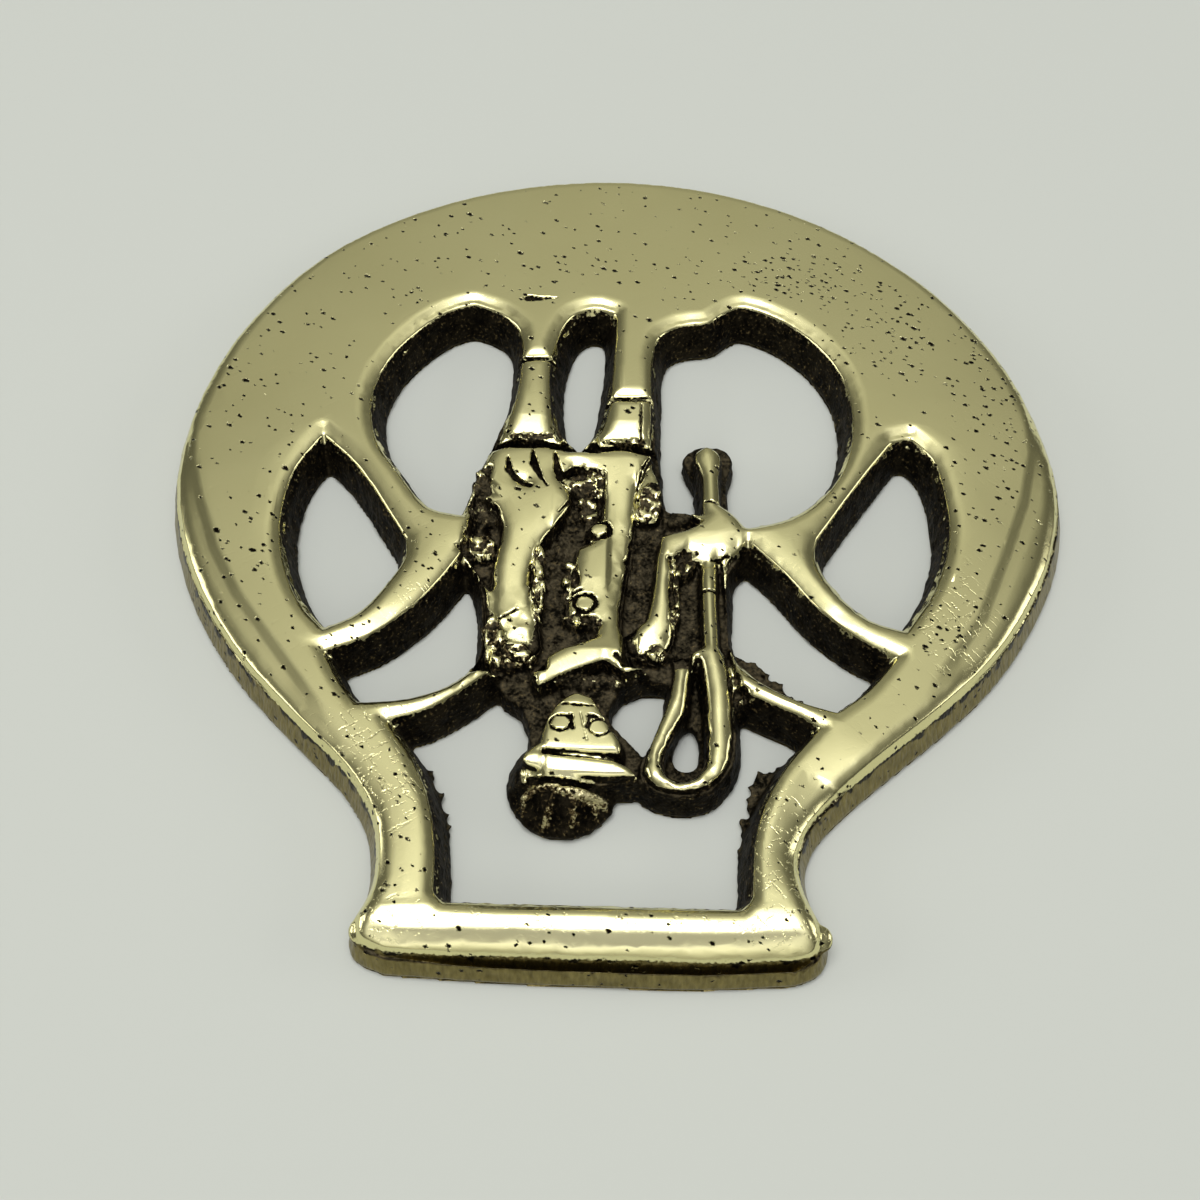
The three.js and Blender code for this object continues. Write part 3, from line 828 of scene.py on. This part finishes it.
def cast_brass():
    """Sand cast yellow brass. The face was mopped to a soft shine and has tiny pits from gas in
    the metal. The rest keeps its dark sooty skin, with golden grains where it has been rubbed, and
    the outer wall shows the upright strokes of a file."""
    material, tree = new_material("sand_cast_brass")
    share = {
        name: node(tree, "ShaderNodeAttribute", {"attribute_name": name}).outputs["Fac"]
        for name in ("polish", "filed", "worn", "open", "pitted", "scratched", "back")
    }
    place = node(tree, "ShaderNodeTexCoord").outputs["Object"]
    height = node(tree, SPLIT, Vector=place).outputs["Z"]
    fine = node(tree, NOISE, Vector=place, Scale=1 / (0.3 * MM), Detail=3.0).outputs[0]
    soft = node(tree, NOISE, Vector=place, Scale=1 / (1.4 * MM), Detail=2.0).outputs[0]
    broad = node(tree, NOISE, Vector=place, Scale=1 / (14 * MM), Detail=3.0).outputs[0]

    # The edge of the polish is ragged, where the mop ran out over the grains of the skin.
    spread = node(tree, MATH, {"operation": "MULTIPLY_ADD"}, _0=fine, _1=1.1, _2=share["polish"]).outputs[0]
    polished = node(tree, RANGE, Value=spread, _1=0.95, _2=1.15).outputs[0]

    # Long pits, fewest on the calm parts of the face. Their dark fill is partly dirt and partly painted
    # shade.
    warp = node(tree, NOISE, Vector=place, Scale=1 / (0.25 * MM)).outputs[1]
    warp_size = (0.35 * MM,) * 3
    shaken = node(
        tree, VECTOR_MATH, {"operation": "MULTIPLY_ADD"}, _0=warp, _1=warp_size, _2=place
    ).outputs[0]
    drawn_out = node(
        tree, MAPPING, {"vector_type": "TEXTURE"},
        Vector=shaken, Rotation=(0, 0, math.radians(PIT_TURN)), Scale=(PIT_LENGTH, 1, 1)
    ).outputs[0]
    pit = 0.0
    for spacing, radius, crowd in PITS:
        cells = node(tree, "ShaderNodeTexVoronoi", Vector=drawn_out, Scale=1 / (spacing * MM)).outputs
        hole = node(
            tree, RANGE, Value=cells["Distance"], _1=radius, _2=radius * 0.6, _3=0.0, _4=1.0
        ).outputs[0]
        chance = node(tree, SPLIT, Vector=cells["Color"]).outputs[0]
        limit = node(tree, MATH, {"operation": "MULTIPLY"}, _0=share["pitted"], _1=crowd).outputs[0]
        kept = node(tree, MATH, {"operation": "LESS_THAN"}, _0=chance, _1=limit).outputs[0]
        hole = node(tree, MATH, {"operation": "MULTIPLY"}, _0=hole, _1=kept).outputs[0]
        pit = node(tree, MATH, {"operation": "MAXIMUM"}, _0=pit, _1=hole).outputs[0]

    # Short scratches in two ways, drawn 0.12 mm wide, wider than most real ones are.
    scratch = 0.0
    for turn in SCRATCH_TURNS:
        drawn = node(
            tree, MAPPING, {"vector_type": "TEXTURE"},
            Vector=shaken, Rotation=(0, 0, math.radians(turn)), Scale=(SCRATCH_LENGTH, 1, 1)
        ).outputs[0]
        strands = node(tree, NOISE, Vector=drawn, Scale=1 / (SCRATCH_WIDTH * MM), Detail=0.0).outputs[0]
        nick = node(tree, RANGE, Value=strands, _1=0.7, _2=0.8).outputs[0]
        nick = node(tree, MATH, {"operation": "MULTIPLY"}, _0=nick, _1=share["scratched"]).outputs[0]
        scratch = node(tree, MATH, {"operation": "MAXIMUM"}, _0=scratch, _1=nick).outputs[0]

    # Golden grains on the rubbed skin.
    grains = node(tree, MATH, {"operation": "MULTIPLY_ADD"}, _0=share["worn"], _1=0.26, _2=fine).outputs[0]
    brown = node(tree, RANGE, Value=grains, _1=0.6, _2=0.75).outputs[0]
    grain = node(tree, RANGE, Value=grains, _1=0.74, _2=0.82).outputs[0]

    # Upright file strokes on the outer wall, drawn coarser than a real file leaves them. Patches
    # of skin are left between them, most below the outer ridge.
    upright = node(tree, MAPPING, Vector=place, Scale=(1, 1, 0.06)).outputs[0]
    strokes = node(tree, NOISE, Vector=upright, Scale=1 / (STROKE_WIDTH * MM), Detail=2.0).outputs[0]
    under_ridge = node(
        tree, RANGE, {"interpolation_type": "SMOOTHSTEP"},
        Value=height, _1=(FACE - 3) * MM, _2=(FACE - 1.3) * MM, _3=0.0, _4=0.36
    ).outputs[0]
    skin_left = node(tree, MATH, {"operation": "ADD"}, _0=under_ridge, _1=soft).outputs[0]
    sooty = node(tree, RANGE, Value=skin_left, _1=0.74, _2=0.82).outputs[0]

    mottle = node(tree, MATH, {"operation": "ADD"}, _0=fine, _1=soft).outputs[0]
    mottle = node(tree, RANGE, Value=mottle, _1=0.8, _2=1.2).outputs[0]
    wall_skin, recess_skin, stroke, gold = (
        node(tree, MIX, COLOURS, _0=amount, _6=colour(low), _7=colour(high)).outputs[2]
        for amount, (low, high) in (
            (mottle, WALL_SOOT), (mottle, RECESS_SOOT), (strokes, FILE_STROKES), (broad, FACE_GOLD)
        )
    )
    # Faces that turn up take the lighter, greyer recess colour, and the others take the darker wall colour.
    skin = node(tree, MIX, COLOURS, _0=share["open"], _6=wall_skin, _7=recess_skin).outputs[2]
    wall = node(tree, MIX, COLOURS, _0=sooty, _6=stroke, _7=skin).outputs[2]
    tint = skin
    # Over the skin in turn: rubbed brown, golden grains, the filed wall, the back, the polish, and the dark
    # of the pits, which is partly dirt and partly painted shade.
    for amount, over in (
        (brown, colour(RUBBED_BROWN)), (grain, colour(GRAIN_GOLD)), (share["filed"], wall),
        (share["back"], colour(BACK_BRASS)), (polished, gold), (pit, colour(PIT_DIRT_AND_SHADE)),
    ):
        tint = node(tree, MIX, COLOURS, _0=amount, _6=tint, _7=over).outputs[2]

    bare = node(tree, MATH, {"operation": "MAXIMUM"}, _0=grain, _1=share["filed"]).outputs[0]
    bare = node(tree, MATH, {"operation": "MAXIMUM"}, _0=bare, _1=share["back"]).outputs[0]
    dull = node(tree, MIX, _0=bare, _2=0.7, _3=0.34).outputs[0]
    rough = node(tree, MIX, _0=polished, _2=dull, _3=0.2).outputs[0]

    relief = node(tree, MIX, _0=share["filed"], _2=fine, _3=strokes).outputs[0]
    relief = node(tree, MIX, _0=polished, _2=relief, _3=0.5).outputs[0]
    relief = node(tree, MATH, {"operation": "SUBTRACT"}, _0=relief, _1=pit).outputs[0]
    relief = node(tree, MATH, {"operation": "MULTIPLY_ADD"}, _0=scratch, _1=-0.25, _2=relief).outputs[0]
    bump = node(tree, "ShaderNodeBump", Height=relief, Strength=1.0, Distance=RELIEF * MM).outputs[0]
    shader = node(
        tree, "ShaderNodeBsdfPrincipled", Base_Color=tint, Roughness=rough, Metallic=1.0, Normal=bump
    ).outputs[0]
    node(tree, "ShaderNodeOutputMaterial", Surface=shader)
    return material


def pale_floor():
    """Matt white board: a plain ground that takes a soft shadow."""
    material, tree = new_material("matt_white_board")
    board = colour("#c7cabf")
    shader = node(tree, "ShaderNodeBsdfPrincipled", Base_Color=board, Roughness=0.9).outputs[0]
    node(tree, "ShaderNodeOutputMaterial", Surface=shader)
    return material


# ---- The room ----

CAMERA_X = 1.01
CAMERA_Y = -95.92
CAMERA_HEIGHT = 115.08  # above the face
CAMERA_DOWN = 54.59  # degrees below level
CAMERA_TURN = 1.02
CAMERA_LENS = 48
SENSOR = 36

DIM = 0.35  # the light of the room low down
GLOW = 2.1  # how much more comes from its brightest part
GLOW_FOCUS = 3.3
GLOW_LEAN = math.radians(20)  # how far the brightest part leans from overhead to the camera
DIM_TONE = (1, 1, 0.9, 1)
GLOW_TONE = (1, 1, 1.2, 1)
ONLOOKER_HEIGHT = math.radians(58)  # someone at the camera darkens that part of the room
ONLOOKER_CORE = math.radians(11)
ONLOOKER_EDGE = math.radians(19)
ONLOOKER_SHADE = 0.2

FLOOR_SIZE = 4  # metres
FLOOR_GAP = 0.02  # so that the floor and the flat back are never one surface


def set_camera():
    """Looks down on the brass from the hanger's side."""
    place = CENTRE + Vector((CAMERA_X, CAMERA_Y, FACE + CAMERA_HEIGHT)) * MM
    turn = (math.radians(90 - CAMERA_DOWN), 0, math.radians(CAMERA_TURN))
    bpy.ops.object.camera_add(location=place, rotation=turn)
    camera = bpy.context.object
    camera.data.lens = CAMERA_LENS
    camera.data.sensor_width = SENSOR
    camera.data.clip_start = 0.005
    bpy.context.scene.camera = camera


def soft_light(name, azimuth, elevation, width, height, power):
    """A soft box that faces the brass from a metre away. Azimuth 0 is behind the camera, and grows
    to the right."""
    turn = math.radians(azimuth)
    lift = math.radians(elevation)
    way = Vector((math.sin(turn) * math.cos(lift), -math.cos(turn) * math.cos(lift), math.sin(lift)))
    bpy.ops.object.light_add(type="AREA", location=way)
    light = bpy.context.object
    light.name = name
    light.rotation_euler = way.to_track_quat("Z", "Y").to_euler()
    light.data.shape = "RECTANGLE"
    light.data.size = width
    light.data.size_y = height
    light.data.energy = power


def towards_camera(lift):
    """The way that rises by the angle lift on the camera's side."""
    return (0, -math.cos(lift), math.sin(lift))


def light_room():
    """A plain room: dim low down and at the sides, bright overhead on the camera's side."""
    world = bpy.data.worlds.new("studio")
    world.use_nodes = True
    tree = world.node_tree
    tree.nodes.clear()
    way = node(tree, "ShaderNodeTexCoord").outputs["Generated"]
    overhead, onlooker = (
        node(tree, VECTOR_MATH, {"operation": "DOT_PRODUCT"}, _0=way, _1=middle).outputs["Value"]
        for middle in (towards_camera(math.pi / 2 - GLOW_LEAN), towards_camera(ONLOOKER_HEIGHT))
    )
    aside = node(tree, SPLIT, Vector=way).outputs[0]
    aside = node(tree, MATH, {"operation": "MULTIPLY"}, _0=aside, _1=aside).outputs[0]
    near = node(tree, MATH, {"operation": "MULTIPLY_ADD"}, _0=aside, _1=-0.5, _2=overhead).outputs[0]
    near = node(tree, MATH, {"operation": "MAXIMUM"}, _0=near, _1=0.0).outputs[0]
    glow = node(tree, MATH, {"operation": "POWER"}, _0=near, _1=GLOW_FOCUS).outputs[0]
    level = node(tree, MATH, {"operation": "MULTIPLY_ADD"}, _0=glow, _1=GLOW, _2=DIM).outputs[0]
    shade = node(
        tree, RANGE, {"interpolation_type": "SMOOTHSTEP"},
        Value=onlooker, _1=math.cos(ONLOOKER_EDGE), _2=math.cos(ONLOOKER_CORE), _3=1.0, _4=ONLOOKER_SHADE
    ).outputs[0]
    level = node(tree, MATH, {"operation": "MULTIPLY"}, _0=level, _1=shade).outputs[0]
    spread = node(tree, MATH, {"operation": "MULTIPLY_ADD"}, _0=aside, _1=4.0, _2=1.0).outputs[0]
    level = node(tree, MATH, {"operation": "DIVIDE"}, _0=level, _1=spread).outputs[0]
    tone = node(tree, MIX, COLOURS, _0=glow, _6=DIM_TONE, _7=GLOW_TONE).outputs[2]
    sky = node(tree, "ShaderNodeBackground", Color=tone, Strength=level).outputs[0]
    node(tree, "ShaderNodeOutputWorld", Surface=sky)
    bpy.context.scene.world = world
    soft_light("ceiling", azimuth=-50, elevation=82, width=0.56, height=0.57, power=4.3)
    soft_light("left_window", azimuth=-93, elevation=22, width=0.6, height=0.3, power=1.6)
    soft_light("right_window", azimuth=93, elevation=22, width=0.6, height=0.3, power=1.3)
    bpy.context.scene.view_settings.view_transform = "Standard"


def lay_floor():
    """A pale board under the brass, which is no part of it."""
    bpy.ops.mesh.primitive_plane_add(size=FLOOR_SIZE, location=(0, 0, -FLOOR_GAP * MM))
    floor = bpy.context.object
    floor.name = "floor"
    floor.data.materials.append(pale_floor())


# ---- Making the brass ----

FORM_FOOT = 2  # the added forms start inside the ground of the figure
FORM_TOP = FACE - 0.02

# The hem of the coat and the back of the hand, one polished surface.
HEM = [
    (-11.4, 2.2), (-10.9, 3.4), (-9.6, 4), (-7, 4.1), (-4.6, 3.9), (-3.2, 3.3), (-0.5, 3.1), (2.4, 3.3),
    (4.2, 3.1), (3.7, 2), (3.2, 0.2), (-0.2, 0), (-0.9, 0.9), (-1.8, 1.6), (-3.2, 1.7), (-4, 0.9), (-5, -0.4),
    (-7, -0.6), (-10.8, 0),
]

# The near arm of the whip's loop.
LOOP_ARM = [
    (5.9, -19.4), (6.9, -18.9), (7.3, -19.6), (7.4, -21), (6.8, -23.2), (6.2, -25.2), (5.5, -27),
    (4.9, -28.6), (4.7, -30), (3.6, -29.4), (4.2, -27.6), (4.9, -25.8), (5.7, -23.4), (6.1, -21.2),
]

# The face between the collar and the peak of the cap.
VISAGE = [
    (-2.9, -23.9), (-1.9, -23.6), (-1, -23.9), (-0.4, -25), (0.5, -26.6), (1, -28), (1.1, -29), (-4.7, -28.8),
    (-4.8, -27.6), (-4.3, -26), (-3.6, -24.6),
]


def make_brass():
    """Joins what stands out to the solid, works it over as its makers did, and finishes it."""
    piece = copy_of_solid()
    join(
        piece,
        block(HEM, FORM_FOOT, FORM_TOP - 0.01),
        block(LOOP_ARM, FORM_FOOT, FORM_TOP),
        block(ring(-0.7, -5.6, 1.25, 1.2)[:-1], FORM_FOOT, FORM_TOP),
        block(ring(-1.8, -13.9, 1.4, 1.4)[:-1], FORM_FOOT, FORM_TOP),
        block(VISAGE, FORM_FOOT, FORM_TOP),
        bead(-18.5, -44.9),
        bead(17.2, -44.9),
        flash([(-16.4, -27.9), (-14.4, -30.8), (-13.1, -33.8), (-12.6, -38.8)], seed=51),
        flash([(11.3, -38), (12.1, -33.8), (13.8, -29.8), (15.6, -28.2)], seed=54),
        flash([(11.7, -17.3), (13.8, -19.2), (15.5, -21.3), (17.6, -21.9)], seed=57),
    )
    cut_fine(piece)
    wear_rims(piece)
    file_slopes(piece)
    lean_neck(piece)
    crown_bar(piece)
    lower_limbs(piece)
    swell_face(piece)
    finish_with(piece, "SMOOTH", factor=0.5, iterations=4)  # the last turn of the mop
    rib_cap(piece)
    cut_lines(piece)
    roughen_places(piece)
    roughen_skin(piece)
    ease_back_edges(piece)
    thin(piece)
    keep_inside_solid(piece)
    mark_finishes(piece)
    settle_into_frame(piece)
    piece.data.materials.clear()
    piece.data.materials.append(cast_brass())
    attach(piece, "root")
    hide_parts(NODE)


set_camera()
light_room()
lay_floor()
make_brass()
